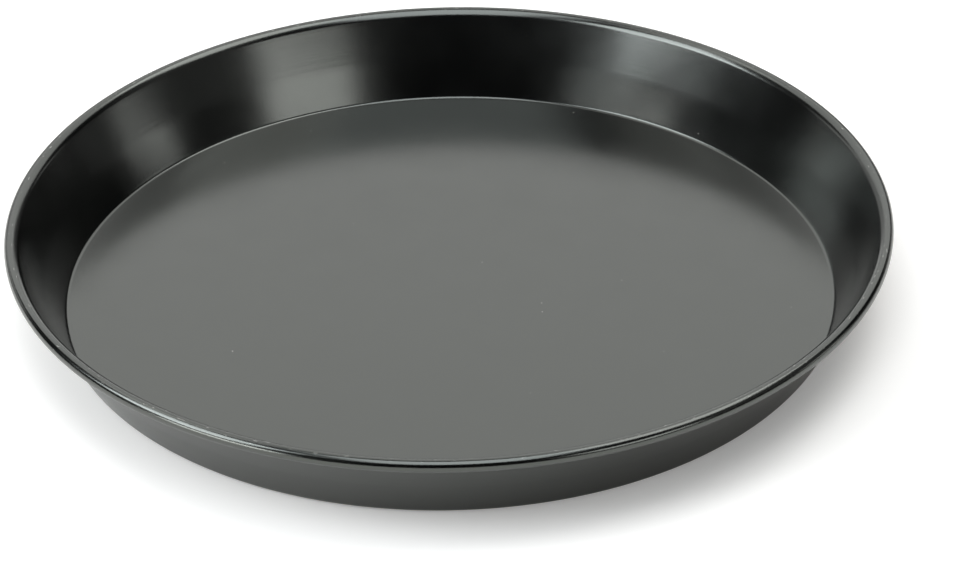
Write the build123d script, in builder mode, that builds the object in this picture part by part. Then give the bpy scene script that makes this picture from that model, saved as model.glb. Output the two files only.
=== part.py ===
from build123d import *
import math
import os

# Round pizza pan, pressed from one sheet of steel with a black non-stick coating: a flat
# floor, a wall that leans outwards, a shoulder where the wall bends further out, and a rim
# rolled outwards over a steel wire.
# Millimetres. The origin is the middle of the underside, and +Z points up.

# Sizes of the pan
rim_diameter = 320.0      # across the outside of the rolled rim
height = 33.0             # from the table to the top of the rim
floor_diameter = 277.4    # the flat floor, out to where its corner starts
sheet_thickness = 1.0
corner_radius = 2.5       # inside the pan, where the floor turns up into the wall

# Sizes of the wired rim
wire_diameter = 2.4
wire_clearance = 0.1      # all round the wire, because the roll isn't squeezed tight on it
wire_end_gap = 0.6        # between the two cut ends of the wire, which only butt together
rolled_edge_gap = 0.15    # between the sheet's rolled-in edge and the outside of the shoulder

# Sizes of the shoulder between the wall and the rim
shoulder_radius = 5.0     # inside the pan
roll_start_lean = 60.0    # degrees from the vertical, where the shoulder passes into the roll

# The rolled rim's centre and outside radius, in the pan's half section
roll_radius = wire_diameter / 2 + wire_clearance + sheet_thickness
roll_centre_x = rim_diameter / 2 - roll_radius
roll_centre_z = height - roll_radius

# The shoulder's circle touches the roll's from outside, where the sheet has reached its lean.
radius_step = shoulder_radius - roll_radius
shoulder_centre_x = roll_centre_x + radius_step * math.cos(math.radians(roll_start_lean))
shoulder_centre_z = roll_centre_z - radius_step * math.sin(math.radians(roll_start_lean))

# The wall is the straight line that touches the inside of the corner on its lower side
# and the shoulder's circle on its upper side. Lean is measured from the vertical.
run = shoulder_centre_x - floor_diameter / 2
rise = shoulder_centre_z - (sheet_thickness + corner_radius)
tangent_radii = corner_radius + shoulder_radius
centre_distance = math.hypot(run, rise)
wall_lean = math.degrees(math.atan2(run, rise) - math.asin(tangent_radii / centre_distance))
wall_length = math.sqrt(centre_distance**2 - tangent_radii**2)

# The roll turns until the sheet's cut edge all but meets the outside of the shoulder: the
# triangle of the two centres and the edge has these three sides.
edge_distance = shoulder_radius - sheet_thickness - rolled_edge_gap
edge_reach = (edge_distance**2 - radius_step**2 - roll_radius**2) / (2 * radius_step * roll_radius)
roll_turn = 360 - math.degrees(math.acos(edge_reach))

# Pan: both faces of the sheet are drawn from the centre out to its rolled-in edge, closed
# at the two ends, and turned about the pan's axis.


def sheet_face(depth):
    """Draw the face of the sheet that lies depth below the inside one; return its two ends."""
    floor_edge = (floor_diameter / 2, sheet_thickness - depth)
    floor = Line((0, sheet_thickness - depth), floor_edge)
    corner = JernArc(floor @ 1, floor % 1, corner_radius + depth, 90 - wall_lean)
    wall = PolarLine(corner @ 1, wall_length, direction=corner % 1)
    shoulder = JernArc(wall @ 1, wall % 1, shoulder_radius - depth, wall_lean - roll_start_lean)
    roll = JernArc(shoulder @ 1, shoulder % 1, roll_radius - depth, -roll_turn)
    return floor @ 0, roll @ 1


with BuildPart() as pan_body:
    with BuildSketch(Plane.XZ):
        with BuildLine():
            inside_middle, inside_edge = sheet_face(0)
            underside_middle, underside_edge = sheet_face(sheet_thickness)
            Line(inside_middle, underside_middle)
            Line(inside_edge, underside_edge)
        make_face()
    revolve(axis=Axis.Z)
pan_body.part.label = "pan_body"

# Rim wire: one length of round steel wire, bent to a ring and closed up inside the roll.
wire_gap_angle = math.degrees(wire_end_gap / roll_centre_x)
with BuildPart() as rim_wire:
    with BuildSketch(Plane.XZ):
        with Locations((roll_centre_x, roll_centre_z)):
            Circle(wire_diameter / 2)
    revolve(axis=Axis.Z, revolution_arc=360 - wire_gap_angle)
rim_wire.part.label = "rim_wire"

os.makedirs("parts", exist_ok=True)
export_step(pan_body.part, "parts/pan_body.step")
export_step(rim_wire.part, "parts/rim_wire.step")

print(f"wall leans {wall_lean:.2f} degrees, {wall_length:.2f} mm long; roll turns {roll_turn:.1f} degrees")
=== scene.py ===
import math

import bpy
import numpy as np
from mathutils import Matrix, Vector


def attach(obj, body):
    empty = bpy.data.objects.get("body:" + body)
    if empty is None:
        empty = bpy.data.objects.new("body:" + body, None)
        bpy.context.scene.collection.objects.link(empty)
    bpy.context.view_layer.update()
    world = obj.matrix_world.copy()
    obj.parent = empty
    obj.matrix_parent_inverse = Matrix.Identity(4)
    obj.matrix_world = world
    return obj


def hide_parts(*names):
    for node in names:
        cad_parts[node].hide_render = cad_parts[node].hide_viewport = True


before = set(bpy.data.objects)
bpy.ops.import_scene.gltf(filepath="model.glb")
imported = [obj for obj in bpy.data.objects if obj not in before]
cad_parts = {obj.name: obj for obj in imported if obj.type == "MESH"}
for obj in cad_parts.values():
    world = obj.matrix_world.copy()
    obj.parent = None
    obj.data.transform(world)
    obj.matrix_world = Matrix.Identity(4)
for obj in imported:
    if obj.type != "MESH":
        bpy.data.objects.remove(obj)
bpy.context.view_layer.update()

# Pan body
# One round sheet of steel, coated black and baked, then pressed to a flat floor and a
# leaning wall. The edge is rolled outwards over a wire, so the rim is a round bead.
MM = 0.001
floor_radius = 138.7 * MM
sheet = 1.0 * MM
corner_radius = 2.5 * MM
wire_radius = 1.2 * MM
wire_clearance = 0.1 * MM
rolled_edge_gap = 0.15 * MM
rim_radius = 160 * MM
pan_height = 33 * MM

roll_radius = wire_radius + wire_clearance + sheet
roll_x = rim_radius - roll_radius
roll_z = pan_height - roll_radius

# Below the roll the wall bends outwards over a wider shoulder. Leans are from the vertical.
shoulder_radius = 5.0 * MM
roll_start_lean = math.radians(60)
radius_step = shoulder_radius - roll_radius
shoulder_x = roll_x + radius_step * math.cos(roll_start_lean)
shoulder_z = roll_z - radius_step * math.sin(roll_start_lean)

# The wall is the straight line that touches the corner's arc and the shoulder's.
run = shoulder_x - floor_radius
rise = shoulder_z - sheet - corner_radius
touching_radii = corner_radius + shoulder_radius
wall_lean = math.atan2(run, rise) - math.asin(touching_radii / math.hypot(run, rise))

# The roll turns until the sheet's cut edge all but meets the outside of the shoulder.
edge_distance = shoulder_radius - sheet - rolled_edge_gap
edge_reach = (edge_distance**2 - radius_step**2 - roll_radius**2) / (2 * roll_radius * radius_step)
roll_turn = math.tau - math.acos(edge_reach)

# On the inside face the corner is drawn tighter, as it shows in the photograph.
tight_corner_radius = 1.4 * MM

# A faint line shows halfway up the wall, where the first stroke of the press ended. Its place
# is a share of the wall's length, and its softness a share of the way to the wall's ends.
draw_line_share = 0.46
draw_line_depth = 0.28 * MM
draw_line_softness = 0.08

# Steps of the half section. The floor's rings lie a little closer together towards its edge.
floor_rings = 16
floor_crowding = 0.8
corner_steps = 10
wall_points = 41
shoulder_steps = 12
roll_steps = 44
pan_slices = 360
sharp_edge = math.radians(40)


def arc(centre_x, centre_z, radius, start, turn, steps):
    """Points of an arc: centre + radius * (cos, sin) of evenly spaced angles, ends included."""
    angles = start + turn * np.linspace(0, 1, steps + 1)
    return np.column_stack([centre_x + radius * np.cos(angles), centre_z + radius * np.sin(angles)])


def sheet_face(depth):
    """One face of the sheet in half section, depth below the inside one, from the middle out.

    Floor, then the corner's arc, tighter inside, then the wall, then the shoulder's arc and
    the roll's arc. The wall is a straight line pushed inwards by a tent whose peak,
    draw_line_depth high and slightly rounded, is at the draw line. A tighter arc that still
    touches the floor and the wall starts further out. Columns are radius and height.
    """
    corner_turn = math.pi / 2 - wall_lean
    bend = tight_corner_radius if depth == 0 else corner_radius + depth
    bend_x = floor_radius + (corner_radius + depth - bend) * math.tan(corner_turn / 2)
    corner = arc(bend_x, sheet - depth + bend, bend, -math.pi / 2, corner_turn, corner_steps)
    floor_x = bend_x * np.linspace(0, 1, floor_rings + 1) ** floor_crowding
    floor = np.column_stack([floor_x, np.full_like(floor_x, sheet - depth)])
    shoulder = arc(shoulder_x, shoulder_z, shoulder_radius - depth,
                   math.pi - wall_lean, wall_lean - roll_start_lean, shoulder_steps)
    roll = arc(roll_x, roll_z, roll_radius - depth,
               math.pi - roll_start_lean, -roll_turn, roll_steps)
    along = np.linspace(0, 1, wall_points)[:, None]
    wall = corner[-1] + along * (shoulder[0] - corner[-1])
    below = (draw_line_share - along) / draw_line_share
    above = (along - draw_line_share) / (1 - draw_line_share)
    fall = np.hypot(np.maximum(below, above), draw_line_softness) - draw_line_softness
    full_fall = math.hypot(1, draw_line_softness) - draw_line_softness
    push = draw_line_depth * (1 - fall / full_fall)
    wall = wall - push * np.array([math.cos(wall_lean), -math.sin(wall_lean)])
    return np.concatenate([floor, corner[1:], wall[1:-1], shoulder, roll[1:]])


def turned_mesh(name, section, slices):
    """A closed section turned about Z: point (r, z) at angle a goes to (r cos a, r sin a, z).

    The section runs from the axis out along the top face and back along the underside, so
    its first and last points are poles, each closed by a fan of triangles.
    """
    angle = np.linspace(0, math.tau, slices, endpoint=False)
    radius, height = section[1:-1].T
    rings = np.stack([np.outer(radius, np.cos(angle)), np.outer(radius, np.sin(angle)),
                      np.repeat(height[:, None], slices, axis=1)], axis=-1).reshape(-1, 3)
    poles = np.array([[0, 0, section[0, 1]], [0, 0, section[-1, 1]]])
    verts = np.concatenate([rings, poles])
    here = np.arange(slices)
    after = (here + 1) % slices
    ring = np.arange(len(radius) - 1)[:, None] * slices
    next_ring = ring + slices
    last_ring = (len(radius) - 1) * slices
    quads = np.stack([ring + here, next_ring + here, next_ring + after, ring + after], axis=-1)
    top_fan = np.stack([np.full(slices, len(rings)), here, after], axis=-1)
    under_pole = np.full(slices, len(rings) + 1)
    under_fan = np.stack([under_pole, last_ring + after, last_ring + here], axis=-1)
    mesh = bpy.data.meshes.new(name)
    faces = quads.reshape(-1, 4).tolist() + top_fan.tolist() + under_fan.tolist()
    mesh.from_pydata(verts.tolist(), [], faces)
    mesh.set_sharp_from_angle(angle=sharp_edge)
    return mesh


inside = sheet_face(0)
underside = sheet_face(sheet)
section = np.concatenate([inside, underside[::-1]])
pan = bpy.data.objects.new("pan", turned_mesh("pan", section, pan_slices))
bpy.context.collection.objects.link(pan)


def linear(colour):
    """An sRGB hex colour such as '1a1b1c' as linear red, green, blue and alpha 1."""
    shares = [int(colour[i:i + 2], 16) / 255 for i in (0, 2, 4)]
    return [s / 12.92 if s <= 0.04045 else ((s + 0.055) / 1.055) ** 2.4 for s in shares] + [1]


def node(tree, kind, settings=None, **inputs):
    """Add a shader node: settings are its properties, inputs its sockets' values or links.

    An input is named after its socket, with _ for a space, or _0, _1 and so on by position.
    """
    made = tree.nodes.new("ShaderNode" + kind)
    for name, value in (settings or {}).items():
        setattr(made, name, value)
    for name, value in inputs.items():
        socket = made.inputs[int(name[1:]) if name[0] == "_" else name.replace("_", " ")]
        if isinstance(value, bpy.types.NodeSocket):
            tree.links.new(value, socket)
        else:
            socket.default_value = value
    return made


def spots(tree, place, spacing, largest, rarity):
    """1 inside scattered round spots, 0 outside.

    Space is cut into cells, each with two random numbers of its own. A cell has a spot if the
    first is above rarity, and the second is the spot's share of the largest radius.
    """
    cells = node(tree, "TexVoronoi", Vector=place, Scale=1 / spacing)
    chance = node(tree, "SeparateColor", Color=cells.outputs["Color"])
    kept = node(tree, "Math", {"operation": "GREATER_THAN"}, _0=chance.outputs[0], _1=rarity)
    reach = node(tree, "Math", {"operation": "MULTIPLY"}, _0=chance.outputs[1],
                 _1=largest / spacing)
    near = node(tree, "Math", {"operation": "LESS_THAN"}, _0=cells.outputs["Distance"],
                _1=reach.outputs[0])
    both = node(tree, "Math", {"operation": "MULTIPLY"}, _0=kept.outputs[0], _1=near.outputs[0])
    return both.outputs[0]


# Black non-stick coating, sprayed and baked on before pressing: a smooth satin film, nearly
# black, with the faint orange peel of a sprayed film and, on the wall, the faint rings that
# the press drew. Specks of dust lie in it, and the top of the rim is chipped down to the
# steel here and there.
film_black = linear("030303")
bare_grey = linear("8f8d88")

# A film like this has an IOR of about 1.5. It is set higher, and its reflections a touch
# green, to match how this one mirrors the lamps.
film_ior = 1.9
film_mirror_tint = linear("f9fff7")

# The real peel is finer than a pixel, so it is drawn as coarse as it needs to be to show.
grain_size = 0.5 * MM
grain_height = 0.018 * MM
ring_size = 1.2 * MM
ring_height = 0.008 * MM

# The film's roughness drifts slowly from place to place, with a noise that stays mostly
# between 0.3 and 0.7.
mottle_size = 18 * MM
mottle_low = 0.3
mottle_high = 0.7
smoothest = 0.17
roughest = 0.21

# Dust is sparse, round and tiny. A chip is a few times as long round the rim as it is wide. It
# starts to show at one value of a noise, and is at its full strength at the other.
dust_spacing = 3 * MM
dust_radius = 0.25 * MM
dust_rarity = 0.95
chip_size = 0.9 * MM
chip_stretch = 4
chip_start = 0.66
chip_full = 0.76
chip_strength = 0.6
chipped_depth = 0.3 * MM

coating = bpy.data.materials.new("black non-stick coating")
coating.use_nodes = True
tree = coating.node_tree
tree.nodes.clear()
place = node(tree, "TexCoord").outputs["Object"]
grain = node(tree, "TexNoise", Vector=place, Scale=1 / grain_size, Detail=3.0, Roughness=0.6)
split = node(tree, "SeparateXYZ", Vector=place)
height = split.outputs["Z"]
rings = node(tree, "TexNoise", {"noise_dimensions": "1D"}, W=height, Scale=1 / ring_size,
             Detail=2.0)
ring_bump = node(tree, "Bump", Height=rings.outputs["Fac"], Strength=1.0, Distance=ring_height)
bump = node(tree, "Bump", Height=grain.outputs["Fac"], Strength=1.0, Distance=grain_height,
            Normal=ring_bump.outputs["Normal"])
mottle = node(tree, "TexNoise", Vector=place, Scale=1 / mottle_size, Detail=4.0)
gloss = node(tree, "MapRange", Value=mottle.outputs["Fac"], From_Min=mottle_low,
             From_Max=mottle_high, To_Min=smoothest, To_Max=roughest)
dust = spots(tree, place, dust_spacing, dust_radius, dust_rarity)

# Chips lie on a strip unrolled from the rim: X runs along the rim and Y outwards.
turn = node(tree, "Math", {"operation": "ARCTAN2"}, _0=split.outputs["Y"], _1=split.outputs["X"])
around_rim = node(tree, "Math", {"operation": "MULTIPLY"}, _0=turn.outputs[0],
                  _1=rim_radius / chip_stretch)
outwards = node(tree, "VectorMath", {"operation": "LENGTH"}, _0=place)
rim_place = node(tree, "CombineXYZ", X=around_rim.outputs[0], Y=outwards.outputs["Value"])
flakes = node(tree, "TexNoise", Vector=rim_place.outputs[0], Scale=1 / chip_size, Detail=1.0)
chips = node(tree, "MapRange", Value=flakes.outputs["Fac"], From_Min=chip_start,
             From_Max=chip_full, To_Min=0.0, To_Max=chip_strength)
on_rim = node(tree, "Math", {"operation": "GREATER_THAN"}, _0=height,
              _1=pan_height - chipped_depth)
rim_chips = node(tree, "Math", {"operation": "MULTIPLY"}, _0=chips.outputs[0],
                 _1=on_rim.outputs[0])
bare = node(tree, "Math", {"operation": "MAXIMUM"}, _0=dust, _1=rim_chips.outputs[0])

# A Mix node's two colours are its sockets 6 and 7.
colour = node(tree, "Mix", {"data_type": "RGBA"}, Factor=bare.outputs[0], _6=film_black,
              _7=bare_grey)
shader = node(tree, "BsdfPrincipled", Base_Color=colour.outputs[2], Roughness=gloss.outputs[0],
              IOR=film_ior, Specular_Tint=film_mirror_tint, Normal=bump.outputs["Normal"])
node(tree, "OutputMaterial", Surface=shader.outputs["BSDF"])
pan.data.materials.append(coating)
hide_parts("pan_body")
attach(pan, "root")

# Rim wire
# A ring of drawn steel wire, 2.4 mm thick, closed up inside the rolled rim. Drawing it through
# a die leaves it bright, with fine marks.
draw_mark_size = 0.3 * MM
draw_mark_height = 0.003 * MM
wire_steel = bpy.data.materials.new("drawn steel wire")
wire_steel.use_nodes = True
tree = wire_steel.node_tree
tree.nodes.clear()
place = node(tree, "TexCoord").outputs["Object"]
draw_marks = node(tree, "TexNoise", Vector=place, Scale=1 / draw_mark_size, Detail=2.0)
bump = node(tree, "Bump", Height=draw_marks.outputs["Fac"], Strength=0.5,
            Distance=draw_mark_height)
shader = node(tree, "BsdfPrincipled", Base_Color=linear("b9b6b0"), Metallic=1.0, Roughness=0.35,
              Normal=bump.outputs["Normal"])
node(tree, "OutputMaterial", Surface=shader.outputs["BSDF"])
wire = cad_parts["rim_wire"]
wire.data.materials.clear()
wire.data.materials.append(wire_steel)

# Table
# A white studio table. Past its edge the air is as white as the lit table, so no edge shows.
# Its top lies a hair below the pan's underside, so the two faces don't share a plane.
table_half = 1.0
table_z = -0.05 * MM
mesh = bpy.data.meshes.new("table")
mesh.from_pydata([(-table_half, -table_half, table_z), (table_half, -table_half, table_z),
                  (table_half, table_half, table_z), (-table_half, table_half, table_z)],
                 [], [(0, 1, 2, 3)])
table = bpy.data.objects.new("table", mesh)
bpy.context.collection.objects.link(table)

# Matt white paint. The lamps leave it a little below white, so it glows for the camera, and
# faintly where the pan mirrors it. That glow lights nothing else.
camera_lift = 0.21
glossy_lift = 0.04
white = bpy.data.materials.new("white table")
white.use_nodes = True
tree = white.node_tree
tree.nodes.clear()
rays = node(tree, "LightPath")
camera_glow = node(tree, "Math", {"operation": "MULTIPLY"}, _0=rays.outputs["Is Camera Ray"],
                   _1=camera_lift)
both_glows = node(tree, "Math", {"operation": "MULTIPLY_ADD"}, _0=rays.outputs["Is Glossy Ray"],
                  _1=glossy_lift, _2=camera_glow.outputs[0])
glow = node(tree, "Emission", Strength=both_glows.outputs[0])
paint = node(tree, "BsdfDiffuse", Color=linear("f2f0ec"))
lifted_paint = node(tree, "AddShader", _0=paint.outputs[0], _1=glow.outputs[0])
node(tree, "OutputMaterial", Surface=lifted_paint.outputs[0])
table.data.materials.append(white)

# Studio light
# Soft boxes round a dark camera side, with a pale backdrop behind the pan. Turn is measured
# from the camera's side of the pan, to the right; all of them face the pan's middle.
lamp_distance = 1.5


def softbox(name, turn, elevation, wide, high, radiance, colour=(1, 1, 1)):
    """An area lamp that fills wide by high degrees, seen from the pan.

    It lies in the direction (sin turn * cos elevation, -cos turn * cos elevation, sin
    elevation). A side is 2 * distance * tan of half its angle; power is radiance * pi * area.
    """
    turn_angle = math.radians(turn)
    rise_angle = math.radians(elevation)
    direction = Vector((math.sin(turn_angle) * math.cos(rise_angle),
                        -math.cos(turn_angle) * math.cos(rise_angle),
                        math.sin(rise_angle)))
    lamp = bpy.data.lights.new(name, "AREA")
    lamp.shape = "RECTANGLE"
    lamp.color = colour
    lamp.size = 2 * lamp_distance * math.tan(math.radians(wide / 2))
    lamp.size_y = 2 * lamp_distance * math.tan(math.radians(high / 2))
    lamp.energy = radiance * math.pi * lamp.size * lamp.size_y
    stand = bpy.data.objects.new(name, lamp)
    stand.location = direction * lamp_distance
    stand.rotation_mode = "QUATERNION"
    stand.rotation_quaternion = (-direction).to_track_quat("-Z", "Y")
    stand.visible_camera = False
    bpy.context.collection.objects.link(stand)


# The numbers are turn, elevation, width and height in degrees, then radiance.
cool_white = linear("f6faff")[:3]
softbox("left softbox", -72, 45, 36, 20, 5.8, cool_white)
softbox("left lower softbox", -74, 31, 36, 8.5, 8.2, cool_white)
softbox("left edge strip", -70, 23.5, 56, 5, 1.2, cool_white)
softbox("low left strip", -54, 7, 30, 12, 6.7)
softbox("right softbox", 42, 19.5, 26, 16.5, 2.6)
softbox("high right softbox", 108, 63, 34, 26, 3.2)
softbox("right side softbox", 84, 34, 40, 36, 0.13)
softbox("side strip", 95, 9, 16, 9, 1.55)
softbox("low side strip", 112, 5, 14, 6, 0.25)
softbox("back softbox", 180, 44, 80, 46, 1.23)
softbox("low back softbox", 180, 9, 26, 16, 1.2)
softbox("low back left softbox", -156, 9, 22, 16, 0.5)
softbox("low back left strip", -131, 12, 24, 12, 0.85)
softbox("low back right strip", 132, 7, 14, 6, 0.6)
softbox("high left softbox", -118, 59, 24, 20, 1.6)
softbox("overhead softbox", 0, 74, 34, 48, 3.2, cool_white)

# To the camera the air is white. To the pan it is nearly dark, but pale towards the back: it
# brightens as a direction's Y goes from where the backdrop starts to where it is full.
backdrop_start = 0.5
backdrop_full = 0.95
dark_air = 0.0024
backdrop_air = 0.096
world = bpy.data.worlds.new("studio")
world.use_nodes = True
tree = world.node_tree
tree.nodes.clear()
direction = node(tree, "TexCoord").outputs["Generated"]
towards_back = node(tree, "SeparateXYZ", Vector=direction).outputs["Y"]
backdrop = node(tree, "MapRange", {"interpolation_type": "SMOOTHSTEP"}, Value=towards_back,
                From_Min=backdrop_start, From_Max=backdrop_full, To_Min=dark_air,
                To_Max=backdrop_air)
rays = node(tree, "LightPath")
strength = node(tree, "Mix", {"data_type": "FLOAT"}, Factor=rays.outputs["Is Camera Ray"],
                A=backdrop.outputs[0], B=1.0)
air = node(tree, "Background", Color=(1, 1, 1, 1), Strength=strength.outputs[0])
node(tree, "OutputWorld", Surface=air.outputs[0])
bpy.context.scene.world = world

# Camera
# It looks down on the pan from 1.18 m away, at the photograph's angle. It points a little to
# the right of the pan's middle, and leans a degree to one side.
distance = 1.1838
elevation = math.radians(32.139)
pan_right = math.radians(0.617)
tip_down = math.radians(0.070)
roll_angle = math.radians(-1.090)
lens_mm = 120.93
sensor_mm = 36

look = Vector((math.sin(pan_right) * math.cos(elevation + tip_down),
               math.cos(pan_right) * math.cos(elevation + tip_down),
               -math.sin(elevation + tip_down)))
right = look.cross(Vector((0, 0, 1))).normalized()
up = right.cross(look)
camera_x = right * math.cos(roll_angle) + up * math.sin(roll_angle)
camera_y = up * math.cos(roll_angle) - right * math.sin(roll_angle)
camera = bpy.data.objects.new("camera", bpy.data.cameras.new("camera"))
camera.data.lens = lens_mm
camera.data.sensor_width = sensor_mm
camera.matrix_world = Matrix((camera_x, camera_y, -look)).transposed().to_4x4()
camera.location = (0, -distance * math.cos(elevation), distance * math.sin(elevation))
bpy.context.collection.objects.link(camera)
bpy.context.scene.camera = camera
bpy.context.scene.view_settings.view_transform = "Standard"
